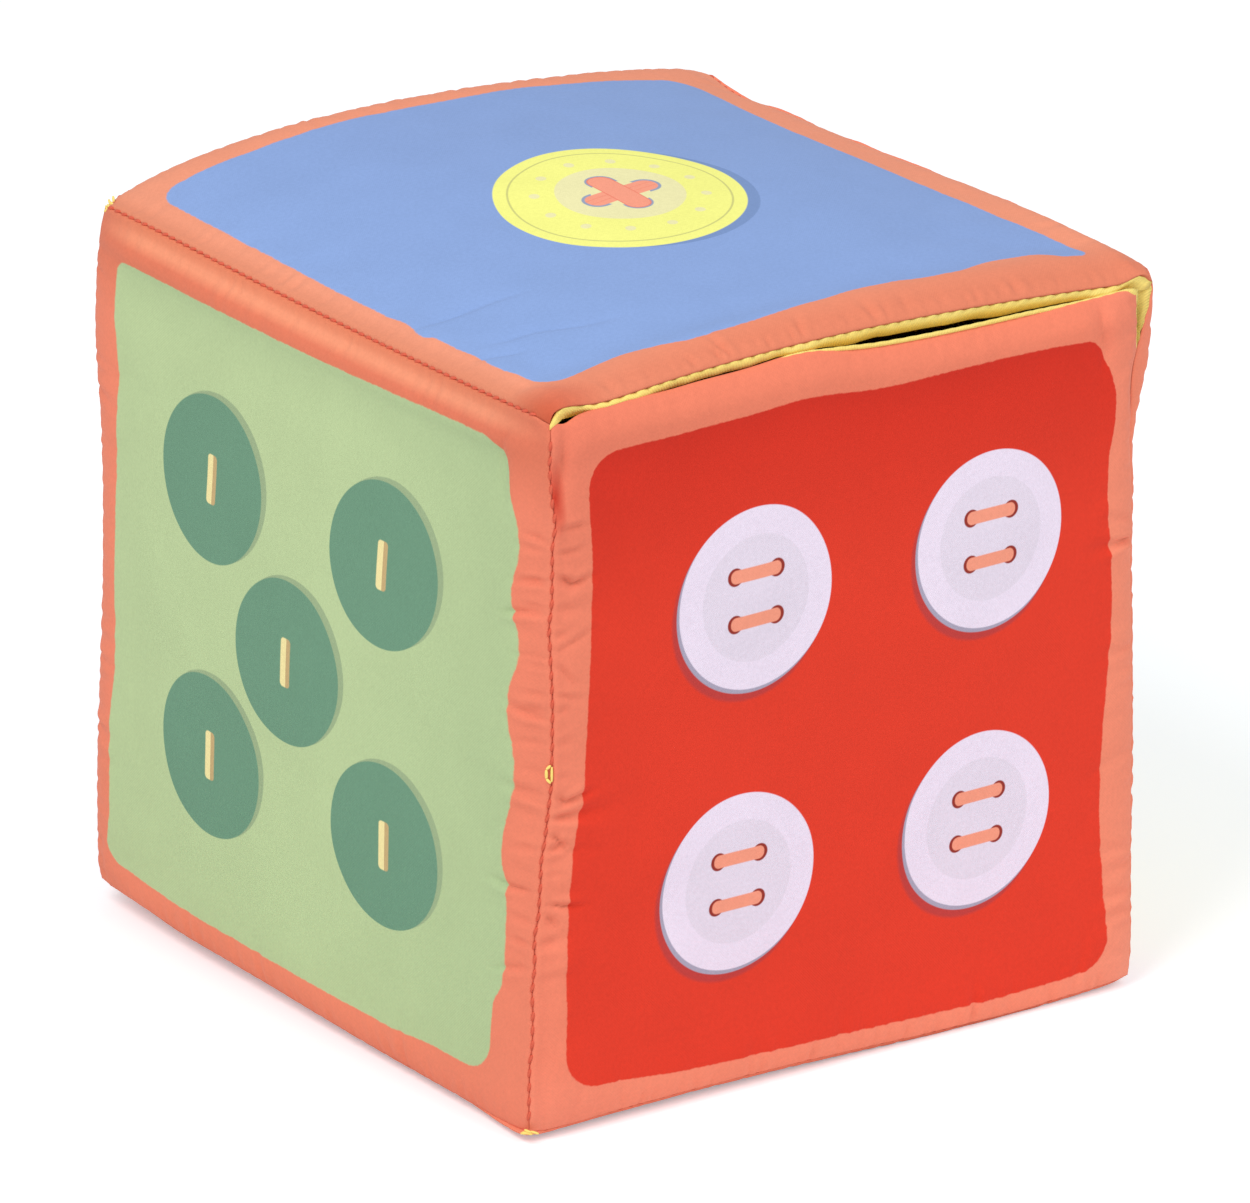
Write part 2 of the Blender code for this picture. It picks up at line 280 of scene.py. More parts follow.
def creases(panel, other):
    """The creases of one edge: place, slant, reach, width and depth of each."""
    depth, length, pitch = PUCKERS.get((panel, other), USUAL_PUCKERS)
    low, high = sorted((ORDER.index(panel), ORDER.index(other)))
    shared = np.random.RandomState(100 + 10 * low + high)
    own = np.random.RandomState(400 + 10 * ORDER.index(panel) + ORDER.index(other))
    count = int(2 * REACH / pitch)
    place = (np.arange(count) + 0.5) * pitch - count * pitch / 2
    place = place + shared.uniform(-PLACE_SPREAD, PLACE_SPREAD, count) * pitch
    reach = length * np.exp(own.normal(0, REACH_SPREAD, count))
    slant = own.normal(0, SLANT_SPREAD, count)
    width = LEAST_WIDTH + EXTRA_WIDTH * own.rand(count)
    return zip(place, slant, reach, width, depth * np.exp(own.normal(0, DEPTH_SPREAD, count)))


def pucker_shift(panel, x, y):
    """How far the puckers push the surface out, in millimetres."""
    shift = np.zeros(x.shape)
    for other, _, along, toward, t in around(panel, x, y):
        inwards = (1 - toward) * REACH
        near = inwards < CREASE_LIMIT
        d, s = inwards[near], (t * REACH * along.sum())[near]
        total = np.zeros(d.shape)
        for at, slant, reach, width, depth in creases(panel, other):
            off = s - at - slant * d + CREASE_BEND * slant * d * d
            wide = width * (1 + CREASE_WIDENING * d)
            inside = bell(off, wide)
            beside = bell(np.abs(off) - SHOULDER_PLACE * wide, wide)
            along_it = (1 - np.exp(-d / CREASE_START)) * smooth(1 - d / (CREASE_END * reach)) ** CREASE_FADE
            total += depth * along_it * (SHOULDER * beside - inside)
        if (panel, other) in PUCKERED:
            low, high = PUCKERED[panel, other]
            for left in (high - s, s - low):
                total = total * smooth((left + PUCKERED_FADE) / (2 * PUCKERED_FADE))
        shift[near] += total
    return shift


# A fold fades over these shares of its length. Its valley's width and its ridge's place and width are multiples of its
# own width, and its ridge's height is a share of its depth.
FADE_IN, FADE_OUT = 0.3, 0.5
VALLEY_WIDTH, RIDGE_PLACE, RIDGE_WIDTH, RIDGE_HEIGHT = 0.75, 1.9, 1.3, 0.5


def crease_line(px, py, points, width, depth, lean=1.0):
    """A fold along a line of points, fading at both of its ends. With a lean it is a tuck, gentle on its left side."""
    points = np.reshape(points, (-1, 2)).astype(float)
    spans = np.diff(points, axis=0)
    lengths = np.hypot(*spans.T)
    starts = np.concatenate([[0], np.cumsum(lengths)])
    best, travel, side = np.full(px.shape, 1e9), np.zeros(px.shape), np.zeros(px.shape)
    for (ax, ay), (dx, dy), size, start in zip(points, spans, lengths, starts):
        along = np.clip(((px - ax) * dx + (py - ay) * dy) / size**2, 0, 1)
        ox, oy = px - ax - along * dx, py - ay - along * dy
        far = np.hypot(ox, oy)
        closer = far < best
        best = np.where(closer, far, best)
        travel = np.where(closer, start + along * size, travel)
        side = np.where(closer, far * np.sign(dx * oy - dy * ox), side)
    fade = smooth(travel / (FADE_IN * starts[-1])) * smooth((starts[-1] - travel) / (FADE_OUT * starts[-1]))
    valley = np.exp(-np.abs(side) / (VALLEY_WIDTH * width * np.where(side > 0, lean, 1.0)))
    ridge = bell(side - RIDGE_PLACE * width, RIDGE_WIDTH * width) if lean == 1.0 else 0.0
    return depth * fade * (RIDGE_HEIGHT * ridge - valley)


# Folds that the photo shows one by one: points as x, y, x, y in millimetres from the panel's middle, width and depth
FOLDS = {
    "lid": (
        ((-73.5, -24, -62, -25, -52, -25.5, -40, -28), 0.9, 0.8),
        ((-73, -45, -66, -47, -59, -50), 0.9, 0.75),
        ((-68, -40.5, -55, -42.6, -46, -47.5, -34, -51), 1, 0.8),
        ((-74.5, -60, -70, -66, -64, -72), 2.4, 0.8),
        ((16, -70, 25, -62, 33, -58), 2.6, 0.35),
        ((36, -52, 46, -49, 58, -52), 2.8, 0.3),
        ((20, 66, 32, 60, 48, 58), 3, 0.25),
    ),
    "left": (
        ((68, 76, 64, 68, 65, 52), 1.5, 0.9),
        ((77, 49, 73, 51, 69, 52), 0.7, 0.8),
        ((77, 41, 73, 41.5, 66, 40), 0.6, 0.45),
        ((77, 35.6, 71, 35, 63, 32.5), 0.7, 1.1),
        ((77, 26.2, 73, 26, 68, 25.5), 0.6, 0.6),
        ((77, 13, 72, 13.5, 66, 16), 0.7, 0.9),
        ((77, -5, 72, -4, 68, -1), 0.6, 0.55),
        ((77, -23.6, 70, -23.6, 62, -23), 0.8, 1),
        ((77, -39, 70, -41, 63, -43.5), 0.8, 0.8),
        ((-70, 40, -60, 44, -50, 40), 3, 0.25),
        ((74, -8, 66, -12, 60, -22), 1.8, 0.35),
    ),
    "front": (
        ((-75.4, 53, -74.1, 62, -72, 76), 1.4, 1.9),
        ((-76, 53, -71, 53.6, -66, 52), 0.7, 0.8),
        ((-76, 44.5, -71, 41.2, -64, 42), 0.8, 1.2),
        ((-76, 48, -71, 48.5, -67, 48), 0.6, 0.5),
        ((-76, 27, -71, 29, -64, 31), 0.8, 0.6),
        ((-76, 26, -72, 22, -68, 18), 0.8, 0.6),
        ((-76, -2.2, -72, -4.8, -63, -3.2), 0.8, 1.2),
        ((-76.5, -9.5, -73, -12.5, -69, -17), 0.8, 1),
        ((-76.5, -25.6, -71, -27, -64, -28), 0.7, 1),
        ((-76.5, -25.8, -73, -30, -70, -34.5), 0.8, 0.9),
        ((61.5, 76, 62, 69, 63, 64, 62, 57), 1.7, 1.1),
        ((75, 30, 66, 33, 58, 30), 2.2, 0.3),
        ((-75, -18, -68, -15, -58, -18), 1.6, 0.35),
        ((75, -28, 67, -26, 58, -30), 2.2, 0.3),
    ),
}
# How much gentler a fold's one side is than its other
TUCKS = {"lid": 4.5}
SWELL = {"front": 0.3}
USUAL_SWELL = 0.35
# The unevenness of a stuffed panel: the cells of its broad and middling waves, and of fine ones beside the seams
BROAD, MIDDLING, FINE = 26, 11, 5
MIDDLING_SHARE, FINE_HEIGHT = 0.45, 0.12
# How far inside the edge the relief and its waves come in, and where the fine ones fade again
RELIEF_START, SWELL_START, FINE_START, FINE_END, FINE_FADE = 0.8, 14, 3, 22, 18


def relief(panel, x, y):
    """The surface's shift along its normal: puckers, folds and the soft unevenness of a stuffed panel."""
    px, py = x * REACH, y * REACH
    seed = 900 + 7 * ORDER.index(panel)
    shift = pucker_shift(panel, x, y)
    for points, width, depth in FOLDS.get(panel, ()):
        shift = shift + crease_line(px, py, points, width, depth, TUCKS.get(panel, 1.0))
    for other, _, _, toward, t in around(panel, x, y):
        height, place, spread = ROLL_RIDGES.get((panel, other), USUAL_ROLL_RIDGE)
        into = (1 - toward) * REACH
        ends = smooth((1 - np.abs(t)) * REACH / RIDGE_FADE)
        behind = bell(into - place - HOLLOW_PLACE, HOLLOW_SPREAD)
        shift = shift + height * ends * (bell(into - place, spread) - HOLLOW * behind)
    inwards = (1 - np.maximum(np.abs(x), np.abs(y))) * REACH
    soft = noise(px, py, BROAD, seed) + MIDDLING_SHARE * noise(px, py, MIDDLING, seed + 1)
    shift = shift + SWELL.get(panel, USUAL_SWELL) * soft * smooth(inwards / SWELL_START)
    fine = FINE_HEIGHT * noise(px, py, FINE, seed + 2) * smooth(inwards / FINE_START)
    shift = shift + fine * smooth((FINE_END - inwards) / FINE_FADE)
    if panel == "base":
        shift = np.minimum(shift, 0)
    return shift * (1 - np.exp(-inwards / RELIEF_START))


def lines(spacing, first=ROLL_LINES):
    """Shares of a grid's lines: close together on the roll, even in between."""
    turn = np.linspace(0, math.pi / 2, first + 1)
    edge = ROLL * (1 - np.cos(turn))
    count = int(round((REACH - ROLL) / spacing))
    middle = ROLL + (REACH - ROLL) * np.arange(1, count + 1) / count
    half = 1 - np.concatenate([edge, middle]) / REACH
    return np.concatenate([-half, half[-2::-1]])


def border(nx, ny):
    """The cells of a grid's border, once round, as an index into its arrays."""
    cells = [(i, 0) for i in range(nx - 1)] + [(nx - 1, j) for j in range(ny - 1)]
    cells += [(i, ny - 1) for i in range(nx - 1, 0, -1)] + [(0, j) for j in range(ny - 1, 0, -1)]
    return tuple(np.array(cells).T)


# How far the two rolls of a seam lean over it towards each other, as a share of their height
OVERHANG = {
    ("lid", "left"): 0.15, ("left", "lid"): 0.15, ("lid", "front"): 0.0, ("front", "lid"): 0.0,
    ("lid", "right"): 0.0, ("right", "lid"): 1.8, ("left", "front"): 0.45, ("front", "left"): 0.45,
}
USUAL_OVERHANG = 0.6
OVERHANG_REACH, FILL_REACH = 1.2, 1.1
# How far a seam is pushed out of the bottom of its groove by the cloth sewn in behind it
SEAM_FILL = {
    frozenset(("lid", "left")): 1.15, frozenset(("lid", "right")): 0.6, frozenset(("left", "front")): 0.9,
    frozenset(("lid", "front")): 0.0, frozenset(("right", "front")): 0.0,
}
USUAL_SEAM_FILL = 0.1
SEAM_END = 0.05
# A fuller roll inside an edge, with a hollow behind it: height, place and spread
ROLL_RIDGES = {("left", "lid"): (1.5, 5.0, 3.2), ("lid", "front"): (0.8, 8.0, 4.0), ("front", "lid"): (0.8, 4.5, 3.2)}
USUAL_ROLL_RIDGE = (0.05, 2.8, 2.2)
RIDGE_FADE = 14
HOLLOW, HOLLOW_PLACE, HOLLOW_SPREAD = 0.3, 9, 6
# The base's roll shows at the corner nearest to the camera: for its two sides, how far it stands out and how far it
# reaches from the corner
FLANGE_LEFT, FLANGE_FRONT = (1.6, 24), (0.64, 11)
FLANGE_PLACE, FLANGE_SPREAD = 2, 3.5


def overhang(panel, x, y):
    """The sideways lean of the rolls over their seams, as a vector for each point."""
    height = (HALF - REACH) * roll(x, REACH) * roll(y, REACH)
    shift = np.zeros(x.shape + (3,))
    for other, side, _, toward, t in around(panel, x, y):
        share = OVERHANG.get((panel, other), USUAL_OVERHANG)
        share = share * (0.85 + 0.25 * noise(t * REACH, t * 0, 7, 77)) * smooth((1 - np.abs(t)) / SEAM_END)
        shift += (share * height * np.exp(-(1 - toward) * REACH / OVERHANG_REACH))[..., None] * side
    return shift


def seam_fill(panel, other, t):
    """How far out a seam stands for a share along it."""
    fill = SEAM_FILL.get(frozenset((panel, other)), USUAL_SEAM_FILL)
    return fill * smooth((1 - np.abs(t)) / SEAM_END)


def fill(panel, x, y):
    """The shift of a pad's rolls where the cloth sewn in behind a seam pushes it out."""
    shift = np.zeros(x.shape + (3,))
    outward = np.zeros(x.shape)
    for other, side, _, toward, t in around(panel, x, y):
        near = seam_fill(panel, other, t) * bell((1 - toward) * REACH, FILL_REACH)
        outward = np.maximum(outward, near)
        shift += near[..., None] * side
    shift += outward[..., None] * AXES[panel][0]
    if panel == "base":
        left, front = (1 - x) * REACH, (1 + y) * REACH
        for into, along, (height, reach), side in ((left, front, FLANGE_LEFT, -X), (front, left, FLANGE_FRONT, -Y)):
            near = bell(into - FLANGE_PLACE, FLANGE_SPREAD)
            shift += (height * near * smooth(1 - along / reach))[..., None] * side
    return shift


def normals_of(points, outward):
    du = np.gradient(points, axis=0)
    dv = np.gradient(points, axis=1)
    normal = np.cross(du, dv)
    normal /= np.maximum(np.linalg.norm(normal, axis=-1, keepdims=True), 1e-9)
    return normal * np.sign(normal[len(points) // 2, points.shape[1] // 2] @ outward)


def placed(name, data):
    """An object in the scene for a mesh, a lamp or a camera."""
    made = bpy.data.objects.new(name, data)
    bpy.context.scene.collection.objects.link(made)
    return made


class Shell:
    """Collects the vertices and faces of one mesh, with a panel share for each vertex."""

    def __init__(self):
        self.points, self.shares, self.faces = [], [], []

    def add(self, points, shares=None):
        """Adds vertices and returns their indices."""
        first = len(self.points)
        self.points.extend(np.reshape(points, (-1, 3)))
        count = len(self.points) - first
        self.shares.extend(np.zeros((count, 2)) if shares is None else np.reshape(shares, (-1, 2)))
        return list(range(first, first + count))

    def sheet(self, points, x, y):
        """Adds a grid with its faces and returns its vertices' indices as an array."""
        index = np.reshape(self.add(points, np.stack([x, y], -1)), x.shape)
        corners = index[:-1, :-1], index[1:, :-1], index[1:, 1:], index[:-1, 1:]
        self.faces += np.stack(corners, -1).reshape(-1, 4).tolist()
        return index

    def bridge(self, *rings):
        """Adds the faces between each ring of vertices and the next."""
        for upper, lower in zip(rings, rings[1:]):
            for k in range(len(upper)):
                after = (k + 1) % len(upper)
                self.faces.append((upper[k], upper[after], lower[after], lower[k]))

    def object(self, name, material, uv=True):
        data = bpy.data.meshes.new(name)
        data.from_pydata([tuple(p) for p in warp(self.points) * MM], [], self.faces)
        data.validate()
        mesh = bmesh.new()
        mesh.from_mesh(data)
        bmesh.ops.recalc_face_normals(mesh, faces=mesh.faces[:])
        mesh.to_mesh(data)
        mesh.free()
        data.shade_smooth()
        data.materials.append(material)
        if uv:
            layer = data.uv_layers.new(name="panel")
            corner = np.zeros(len(data.loops), np.int32)
            data.loops.foreach_get("vertex_index", corner)
            values = (np.array(self.shares)[corner] + 1) / 2
            layer.data.foreach_set("uv", values.astype(np.float32).ravel())
        return placed(name, data)


def stepped(shares):
    """The same lines with enough more in the middle to be cut into the underside's steps."""
    extra = -(len(shares) - 1) % UNDERSIDE_STEP
    middle = shares[ROLL_LINES:-ROLL_LINES]
    finer = np.linspace(middle[0], middle[-1], len(middle) + extra)
    return np.concatenate([shares[:ROLL_LINES], finer, shares[-ROLL_LINES:]])


def pad_mesh(panel):
    """A pad: its printed face in fine detail, a turn down the seam, and a plain underside inside the block."""
    shell = Shell()
    across, up = (stepped(lines(spacing)) for spacing in SPACING[panel])
    x, y = np.meshgrid(across, up, indexing="ij")
    nx, ny = x.shape
    points = surface(panel, x, y, joint=PAD_JOINT)
    points = points + normals_of(points, AXES[panel][0]) * relief(panel, x, y)[..., None]
    face = shell.sheet(points + overhang(panel, x, y) + fill(panel, x, y), x, y)
    cells = border(nx, ny)
    shares = np.stack([x, y], -1)
    turn, rim = (
        shell.add(surface(panel, x[cells], y[cells], depth, depth, joint), shares[cells])
        for depth, joint in ((TURN_DEPTH, TURN_JOINT), (UNDER_RIM, UNDER_JOINT))
    )
    shell.bridge(face[cells].tolist(), turn, rim)
    rows, columns = range(0, nx, UNDERSIDE_STEP), range(0, ny, UNDERSIDE_STEP)
    inner = np.ix_(rows[1:-1], columns[1:-1])
    under = np.zeros((nx, ny), int)
    under[cells] = rim
    points = surface(panel, x[inner], y[inner], UNDER_RIM, UNDER_FACE, UNDER_JOINT)
    under[inner] = np.reshape(shell.add(points, shares[inner]), x[inner].shape)

    def side(start, end):
        """The vertices from one coarse corner to the next, with the fine ones between them on the border."""
        (ia, ja), (ib, jb) = start, end
        edge = (ia == ib and ia in (0, nx - 1)) or (ja == jb and ja in (0, ny - 1))
        steps = UNDERSIDE_STEP if edge else 1
        return [int(under[ia + (ib - ia) * k // steps, ja + (jb - ja) * k // steps]) for k in range(steps)]

    for i in rows[:-1]:
        for j in columns[:-1]:
            after_i, after_j = i + UNDERSIDE_STEP, j + UNDERSIDE_STEP
            corners = [(i, j), (after_i, j), (after_i, after_j), (i, after_j)]
            shell.faces.append(sum((side(*ends) for ends in zip(corners, corners[1:] + corners[:1])), []))
    return shell


def open_share(panel, x, y):
    """1 where a border place lies on a lip of the mouth or of the slit, 0 where it's sewn."""
    foot = smooth((y - (1 - SLIT_LENGTH / HALF) + 0.02) / 0.04)
    if panel == "lid":
        return np.where(y < -ON_EDGE, 1.0, 0.0)
    if panel == "front":
        return np.maximum(np.where(y > ON_EDGE, 1.0, 0.0), np.where(x > ON_EDGE, foot, 0.0))
    if panel == "right":
        return np.where(x < -ON_EDGE, foot, 0.0)
    return np.zeros(x.shape)


# The lining's lip, for each panel that has one: how far it hangs out, and how far below the rim and how far out its
# top line lies
LIP_HANG = {"lid": 2.0, "front": 0.5, "right": 0.5}
LIP_TOP = {"lid": 0.12, "front": -0.55, "right": -0.1}
LIP_OUT = {"lid": 0.34, "front": 0.0, "right": 0.25}
# How far below the rim the lining's low and top lines lie where it is sewn in, and its low line at a lip
SEWN_LOW, SEWN_TOP = 3.1, 2.5
LIP_LOW = 2.6
SCALLOP_PITCH = 3.3
SCALLOP_DEPTH, FRONT_SCALLOP_DEPTH = 0.4, 0.15
SCALLOP_MIDDLE, SCALLOP_WANDER = 0.6, 0.6
# Spacing and roll lines of the lining's grid: along the mouth, along the slit, and elsewhere
ALONG_MOUTH, ALONG_SLIT, PLAIN_GRID = (0.75, 5), (0.9, 5), (4.5, 4)
WRINKLE, WRINKLE_CELL = 0.5, 14
# The front's lip rises where the mouth gapes and sinks where it is closed: by how much, from where, and over how much
GAPE_RISE, GAPE_FROM, GAPE_OVER = 0.7, 2.0, 1.5
CLOSED_SINK, CLOSED_FROM, CLOSED_OVER = 1.2, -0.2, 0.15
# The share up the panel below which the slit's lips sink, and over how much
SLIT_SINK_FROM, SLIT_SINK_OVER = 0.84, 0.05


def mouth_gap(t):
    """How far the lid's lip stands above the front panel's."""
    lid = sum(rise(LID_ARCHES["front"], t, t)) + lip_wave("lid", t)
    return lid - sum(rise(WALL_ARCHES["front"], t, t)) - lip_wave("front", t)


def lining_mesh(panel):
    """A thin closed sheet under the pad that turns out at the lips of the mouth."""
    shell = Shell()
    places_x = lines(*(ALONG_MOUTH if panel in ("lid", "front") else PLAIN_GRID))
    places_y = lines(*(ALONG_SLIT if panel in ("front", "right") else PLAIN_GRID))
    x, y = np.meshgrid(places_x, places_y, indexing="ij")
    seed = 1300 + ORDER.index(panel)
    normal, across, up = AXES[panel]
    wrinkle = (WRINKLE * noise(x * REACH, y * REACH, WRINKLE_CELL, seed) * hump(x) * hump(y))[..., None] * normal
    cells = border(*x.shape)
    bx, by = x[cells], y[cells]
    outer, inner = (
        shell.sheet(surface(panel, x, y, rim, face, joint) + wrinkle, x, y)[cells].tolist()
        for rim, face, joint in ((RIM, PAD, GAP), (RIM - CLOTH, PAD - CLOTH, LINING_JOINT))
    )
    on_x, on_y = np.abs(bx) > ON_EDGE, np.abs(by) > ON_EDGE
    outward = (np.sign(bx) * on_x)[:, None] * across + (np.sign(by) * on_y)[:, None] * up
    along = np.where(on_y, bx, by) * REACH

    def uneven(cell, extra):
        return noise(along, along * 0, cell, seed + extra)

    lip = open_share(panel, bx, by)
    sewn = 1 - lip
    hang = LIP_HANG.get(panel, 0) * lip
    scallop = np.abs(np.cos(np.pi * along / SCALLOP_PITCH + SCALLOP_WANDER * uneven(17, 5))) - SCALLOP_MIDDLE
    scallop = scallop * (FRONT_SCALLOP_DEPTH if panel == "front" else SCALLOP_DEPTH)
    tuck = 0.35 * uneven(6.5, 9) + 0.2 * uneven(2.6, 10)
    low = sewn * SEWN_LOW + lip * LIP_LOW
    if panel == "lid":
        low = np.where(lip > 0, np.clip(mouth_gap(bx) + 0.1, 0.9, 3.3), low)
    top = sewn * SEWN_TOP + lip * (LIP_TOP.get(panel, 0) + np.where(lip > 0, 0.12 - scallop, 0))
    if panel == "front":
        top = top - lip * GAPE_RISE * smooth((mouth_gap(bx) - GAPE_FROM) / GAPE_OVER)
        top = top + lip * CLOSED_SINK * smooth((CLOSED_FROM - bx) / CLOSED_OVER)
    if panel in ("front", "right"):
        top = top + lip * smooth((SLIT_SINK_FROM - by) / SLIT_SINK_OVER) * on_x
    middle = (low + top) / 2

    def ring(depth, joint, out=0.0, down=0.0):
        points = surface(panel, bx, by, depth, depth, joint)
        points = points + outward * (out * lip)[:, None] - normal * (down * lip)[:, None]
        return shell.add(points, np.stack([bx, by], -1))

    shell.bridge(
        outer,
        ring(low, GAP, hang * (0.85 + tuck * 0.35), 0.25 * tuck),
        ring(middle, GAP, hang * (0.55 + tuck * 0.35)),
        ring(top, GAP, LIP_OUT.get(panel, 0)),
        ring(top, LINING_JOINT),
        ring(middle, LINING_JOINT, hang * (0.5 + tuck * 0.35)),
        ring(low, LINING_JOINT, hang * (0.8 + tuck * 0.35), 0.1),
        inner,
    )
    return shell


# Yellow ends that the photo shows, for each lining that they belong to: a loop of thread in the seam nearest to the
# camera, threads at its foot, and frayed cloth at the lid's left corner. Each row gives the seam, and pairs of places
# on it: the share along it, how far to the side, and how far out.
LOOSE_ENDS = {
    "left": ("left", -Y, (
        ((0.052, 0.1, 2.1), (0.04, 0.85, 2.3)), ((0.04, 0.85, 2.3), (0.014, 0.8, 2.3)),
        ((0.014, 0.8, 2.3), (0.001, 0.05, 2.1)), ((0.048, -0.1, 2), (0.004, -0.1, 2)),
    )),
    "base": ("left", -Y, (
        ((-0.986, 0.9, 1.3), (-0.99, -0.6, 1.7)), ((-0.992, 1.3, 1.5), (-0.996, -0.9, 1.6)),
        ((-0.988, -0.4, 1.5), (-0.994, -2.1, 1.4)), ((-0.998, 1.6, 1.2), (-0.993, 0.2, 1.8)),
    )),
    "back": ("lid", -X, (
        ((0.962, 0.1, 0.6), (0.984, 0.5, 1)), ((0.972, -0.5, 0.5), (0.992, 0.2, 0.6)),
        ((0.957, 0.6, 0.9), (0.976, 1.3, 1.1)), ((0.98, 0.8, 0.4), (0.996, 1.6, 0.7)),
        ((0.974, 1.6, 0.6), (0.988, 2.6, 0.8)), ((0.968, -0.2, 1), (0.982, -1, 0.6)),
    )),
}
LOOSE_RADIUS = 0.28


def add_loose_ends(shell, panel):
    seam, side, pairs = LOOSE_ENDS[panel]
    sideways = (AXES[seam][0] - side) / math.sqrt(2)
    for pair in pairs:
        start, end = (seam_point(seam, side, t, out) + sideways * aside for t, aside, out in pair)
        add_capsule(shell, start, end, LOOSE_RADIUS)


def seam_point(panel, side, t, out):
    """A place over the groove of a seam, for a share along it, a little outside the cube's edge."""
    other = neighbour(side)
    along = next(run for name, _, run in edges(panel) if name == other)
    to_side, to_normal, height, lean = edge_shift(panel, other, along, t)
    if panel == "lid":
        to_normal += height + lean
    normal = AXES[panel][0]
    return (CENTRE + along * REACH * t + side * (REACH + to_side + out / math.sqrt(2))
            + normal * (REACH + to_normal + out / math.sqrt(2)))


STITCH_SIDES = 8
STITCH_RINGS = 4
STITCH_SHARE = 0.72  # of the pitch, the rest being the gap to the next stitch
STITCH_LEAN, LEAN_SPREAD = 0.16, 0.05
SINK = 0.6  # of its radius
ROW_END = 0.965  # the share of an edge at which its stitches end


def add_capsule(shell, start, end, radius, sink=0 * Z):
    """A rounded stitch between two points, whose ends sink into the cloth by a vector."""
    middle, half = (start + end) / 2, (end - start) / 2
    length = np.linalg.norm(half)
    axis = half / length
    other = np.cross(axis, Z if abs(axis[2]) < 0.9 else X)
    other /= np.linalg.norm(other)
    turns = np.arange(STITCH_SIDES) * 2 * np.pi / STITCH_SIDES
    circle = np.cos(turns)[:, None] * other + np.sin(turns)[:, None] * np.cross(axis, other)
    rings = []
    for k in range(1, 2 * STITCH_RINGS):
        angle = math.pi * k / (2 * STITCH_RINGS)
        centre = middle - axis * length * math.cos(angle) + sink * math.cos(angle) ** 2
        rings.append(shell.add(centre + circle * radius * math.sin(angle) ** 0.6))
    tips = shell.add([middle - axis * length + sink, middle + axis * length + sink])
    shell.bridge(*rings)
    for k in range(STITCH_SIDES):
        after = (k + 1) % STITCH_SIDES
        shell.faces += [(rings[0][after], rings[0][k], tips[0]), (rings[-1][k], rings[-1][after], tips[1])]


def stitches(panel, side, pitch, out, radius, high=ROW_END):
    """A seam's row of stitches, each a little slanted and lying across the groove."""
    shell = Shell()
    other = neighbour(side)
    rng = np.random.RandomState(2000 + 17 * ORDER.index(panel) + ORDER.index(other))
    run = high + ROW_END
    count = int(run * REACH / pitch)
    half = pitch * STITCH_SHARE / 2 / REACH
    normal = AXES[panel][0]
    for k in range(count):
        t = -ROW_END + run * (k + 0.5) / count
        lean = STITCH_LEAN + rng.normal(0, LEAN_SPREAD)
        stand = out + seam_fill(panel, other, t) * math.sqrt(2)
        start, end = (seam_point(panel, side, t + way * half, stand) - way * (normal - side) * lean for way in (-1, 1))
        add_capsule(shell, start, end, radius, -(normal + side) * SINK * radius)
    return shell


# Materials
class Net:
    """A node tree of a material or a world, with sums and products of sockets written as arithmetic."""

    def __init__(self, name, owner=None):
        owner = owner or bpy.data.materials.new(name)
        owner.use_nodes = True
        self.owner, self.tree = owner, owner.node_tree
        self.shader = self.tree.nodes.get("Principled BSDF")

    def node(self, kind, **settings):
        made = self.tree.nodes.new("ShaderNode" + kind)
        for key, value in settings.items():
            setattr(made, key, value)
        return made

    def feed(self, socket, value):
        if isinstance(value, Num):
            value = value.socket
        if isinstance(value, bpy.types.NodeSocket):
            self.tree.links.new(value, socket)
        else:
            socket.default_value = value

    def join(self, kind, values, inputs=None, **settings):
        """A node of a kind with values fed to its first inputs, or to those named."""
        made = self.node(kind, **settings)
        for k, value in zip(inputs or range(len(values)), values):
            self.feed(made.inputs[k], value)
        return made

    def calc(self, operation, *values):
        return Num(self, self.join("Math", values, operation=operation).outputs[0])

    def mix(self, *values):
        """Between two colours, by a share that comes first."""
        return self.join("Mix", values, (0, 6, 7), data_type="RGBA").outputs[2]

    def between(self, *values):
        """Between two numbers, by a share that comes first."""
        return Num(self, self.join("Mix", values, (0, 2, 3), data_type="FLOAT").outputs[0])

    def layers(self, colour, *shapes):
        """A colour with shapes laid over it: for each the distance outside it, its colour, and maybe its softness."""
        for distance, paint, *soft in shapes:
            colour = self.mix(distance.inside(*soft), colour, paint)
        return colour

    def plane(self):
        """Millimetres across and up the panel."""
        uv = self.node("UVMap", uv_map="panel")
        split = self.join("SeparateXYZ", (uv.outputs[0],))
        return [(Num(self, split.outputs[k]) - 0.5) * (2 * REACH) for k in (0, 1)]

    def noise(self, scale, detail=2.0):
        place = self.node("TexCoord").outputs["Object"]
        return Num(self, self.join("TexNoise", (place, scale, detail, 0.5),
                                   ("Vector", "Scale", "Detail", "Roughness")).outputs[0])

    def views(self):
        """1 for what the camera sees, itself or in gloss or glass, and 0 for light on its way."""
        rays = self.node("LightPath").outputs
        return self.calc("MAXIMUM", rays["Is Camera Ray"],
                         self.calc("MAXIMUM", rays["Is Glossy Ray"], rays["Is Transmission Ray"]))


def operation(name, swapped=False):
    """A method that makes a node of one operation."""
    def apply(self, *others):
        values = (self, *others)
        return self.net.calc(name, *(values[::-1] if swapped else values))

    return apply


